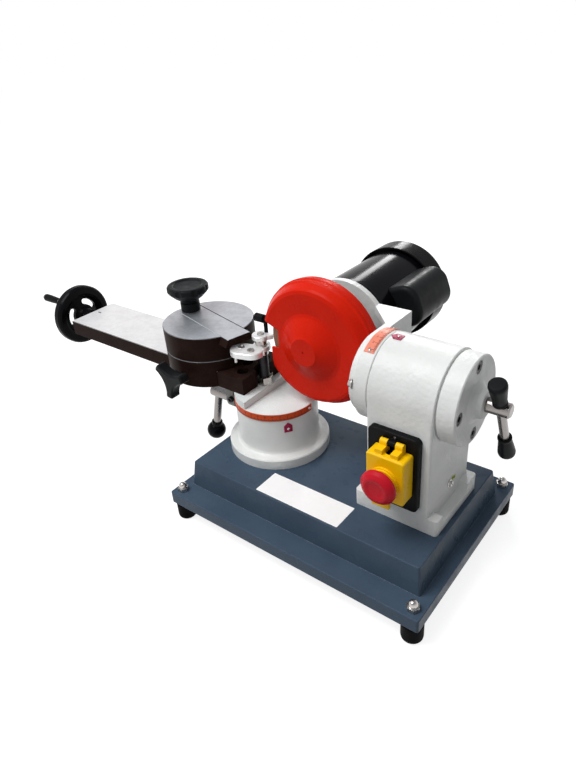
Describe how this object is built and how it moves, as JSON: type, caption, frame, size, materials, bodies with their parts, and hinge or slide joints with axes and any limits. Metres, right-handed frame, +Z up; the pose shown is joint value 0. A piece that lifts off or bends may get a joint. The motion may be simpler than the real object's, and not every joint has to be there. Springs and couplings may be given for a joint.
{
  "type": "saw blade sharpening machine",
  "caption": "Bench grinder for circular saw blades: swivelling slide arm with handwheel and clamp table, tooth stop, tilting motor head with guarded wheel, on a cast base.",
  "frame": {"origin": "bottom centre of the box around the whole machine, on the floor under the feet", "axes": "+X along the base from the handwheel end to the tilt lock, +Y from the switch side to the motor, +Z up"},
  "size_m": [0.781, 0.366, 0.3212],
  "materials": {
    "base_paint": "satin",
    "casting_paint": "gloss",
    "rubber": "matte",
    "bright_steel": "satin",
    "dark_steel": "satin",
    "chrome": "gloss",
    "black_plastic": "satin",
    "black_gloss": "gloss",
    "black_paint": "satin",
    "motor_black": "satin",
    "guard_red": "gloss",
    "button_red": "gloss",
    "button_green": "gloss",
    "switch_yellow": "gloss",
    "scale_orange": "satin",
    "tag_crimson": "satin",
    "abrasive": "matte",
    "brass": "satin",
    "core_iron": "matte"
  },
  "bodies": {
    "base": {"base_pan": "base_paint", "rubber_feet": "rubber", "dome_nuts": "chrome", "base_bolts": "bright_steel", "swivel_column": "casting_paint", "head_column": "casting_paint", "end_cap": "casting_paint", "cap_screws": "black_paint", "pointer_tags": "tag_crimson", "switch_plate": "black_plastic", "switch_body": "black_plastic"},
    "turntable": {"turntable": "casting_paint", "swivel_scale": "scale_orange", "pivot_bolt": "bright_steel", "arm_bar": "dark_steel", "arm_screws": "black_paint", "lock_bracket": "casting_paint", "stop_post": "black_paint", "stop_nut": "chrome", "stop_sleeve": "chrome", "stop_plate": "chrome"},
    "stop_finger": {"stop_finger": "chrome", "stop_knob": "black_plastic"},
    "swivel_lock": {"lock_lever": "chrome", "lock_ball": "black_gloss"},
    "handwheel": {"lead_screw": "bright_steel", "handwheel": "black_gloss", "crank_pin": "bright_steel"},
    "crank_grip": {"crank_grip": "black_plastic"},
    "carriage": {"carriage": "dark_steel", "nut_plate": "dark_steel", "lead_nut": "brass", "plate_screws": "black_paint", "table_pivot": "bright_steel"},
    "wing_knob": {"wing_knob": "black_plastic"},
    "blade_table": {"blade_table": "dark_steel"},
    "table_strip": {"table_strip": "dark_steel", "centring_stud": "bright_steel"},
    "star_knob": {"star_knob": "black_plastic"},
    "head": {"head_bracket": "casting_paint", "tilt_shaft": "bright_steel", "tilt_scale": "scale_orange", "motor_shell": "motor_black", "stator": "core_iron", "fan_cover": "black_gloss", "capacitor_box": "black_gloss", "guard_cover": "guard_red", "guard_back": "motor_black"},
    "spindle": {"motor_shaft": "bright_steel", "fan": "black_plastic", "grinding_wheel": "abrasive", "wheel_flanges": "bright_steel", "wheel_nut": "bright_steel"},
    "tilt_lock": {"lock_shaft": "chrome"},
    "tommy": {"tommy_bar": "chrome", "tommy_grips": "black_plastic"},
    "switch_flap": {"switch_flap": "switch_yellow"},
    "mushroom": {"mushroom": "button_red"},
    "start_button": {"start_button": "button_green"},
    "stop_button": {"stop_button": "button_red"}
  },
  "joints": [
    {"name": "turntable_swivel", "type": "hinge", "parent": "base", "child": "turntable", "pos_m": [0.0819, -0.0458, 0.145], "axis": [0, 0, 1], "range_deg": [-15, 15]},
    {"name": "stop_finger_turn", "type": "hinge", "parent": "turntable", "child": "stop_finger", "pos_m": [0.0645, -0.0458, 0.233], "axis": [0, 0, 1], "range_deg": [-12, 12], "stiffness_Nm_per_rad": 0.3},
    {"name": "swivel_lock_turn", "type": "hinge", "parent": "turntable", "child": "swivel_lock", "pos_m": [-0.0175, -0.0458, 0.121], "axis": [1, 0, 0], "range_deg": [-35, 35]},
    {"name": "carriage_slide", "type": "slide", "parent": "turntable", "child": "carriage", "axis": [1, 0, 0], "range_m": [-0.2, 0]},
    {"name": "handwheel_turn", "type": "hinge", "parent": "turntable", "child": "handwheel", "pos_m": [-0.3175, -0.0458, 0.176], "axis": [1, 0, 0], "range_deg": [0, 7200]},
    {"name": "crank_grip_spin", "type": "hinge", "parent": "handwheel", "child": "crank_grip", "pos_m": [-0.3675, -0.07279, 0.20619], "axis": [1, 0, 0], "continuous": true},
    {"name": "wing_knob_turn", "type": "hinge", "parent": "carriage", "child": "wing_knob", "pos_m": [-0.0289, -0.112, 0.18], "axis": [0, 1, 0], "range_deg": [-180, 180]},
    {"name": "table_turn", "type": "hinge", "parent": "carriage", "child": "blade_table", "pos_m": [-0.0289, -0.0458, 0.203], "axis": [0, 0, 1], "range_deg": [-30, 30]},
    {"name": "strip_slide", "type": "slide", "parent": "blade_table", "child": "table_strip", "axis": [0.9703, -0.2419, 0], "range_m": [-0.025, 0]},
    {"name": "star_knob_turn", "type": "hinge", "parent": "table_strip", "child": "star_knob", "pos_m": [-0.07353, -0.03467, 0.245], "axis": [0, 0, 1], "range_deg": [0, 360]},
    {"name": "head_tilt", "type": "hinge", "parent": "base", "child": "head", "pos_m": [0.2475, -0.0479, 0.232], "axis": [1, 0, 0], "range_deg": [-25, 25]},
    {"name": "wheel_spin", "type": "hinge", "parent": "head", "child": "spindle", "pos_m": [0.1475, -0.041, 0.24], "axis": [0, 1, 0], "continuous": true},
    {"name": "tilt_lock_turn", "type": "hinge", "parent": "base", "child": "tilt_lock", "pos_m": [0.3725, -0.0479, 0.232], "axis": [1, 0, 0], "range_deg": [-60, 60]},
    {"name": "tommy_slide", "type": "slide", "parent": "tilt_lock", "child": "tommy", "axis": [0, -0.4305, 0.9026], "range_m": [0, 0.043]},
    {"name": "flap_open", "type": "hinge", "parent": "base", "child": "switch_flap", "pos_m": [0.2925, -0.1106, 0.1935], "axis": [-1, 0, 0], "range_deg": [0, 95]},
    {"name": "mushroom_push", "type": "slide", "parent": "switch_flap", "child": "mushroom", "axis": [0, 1, 0], "range_m": [0, 0.004], "stiffness_N_per_m": 800},
    {"name": "start_push", "type": "slide", "parent": "base", "child": "start_button", "axis": [0, 1, 0], "range_m": [0, 0.003], "stiffness_N_per_m": 600},
    {"name": "stop_push", "type": "slide", "parent": "base", "child": "stop_button", "axis": [0, 1, 0], "range_m": [0, 0.003], "stiffness_N_per_m": 600}
  ],
  "couplings": [
    {"joint": "handwheel_turn", "follows": "carriage_slide", "rad_per_m": -628.32}
  ]
}
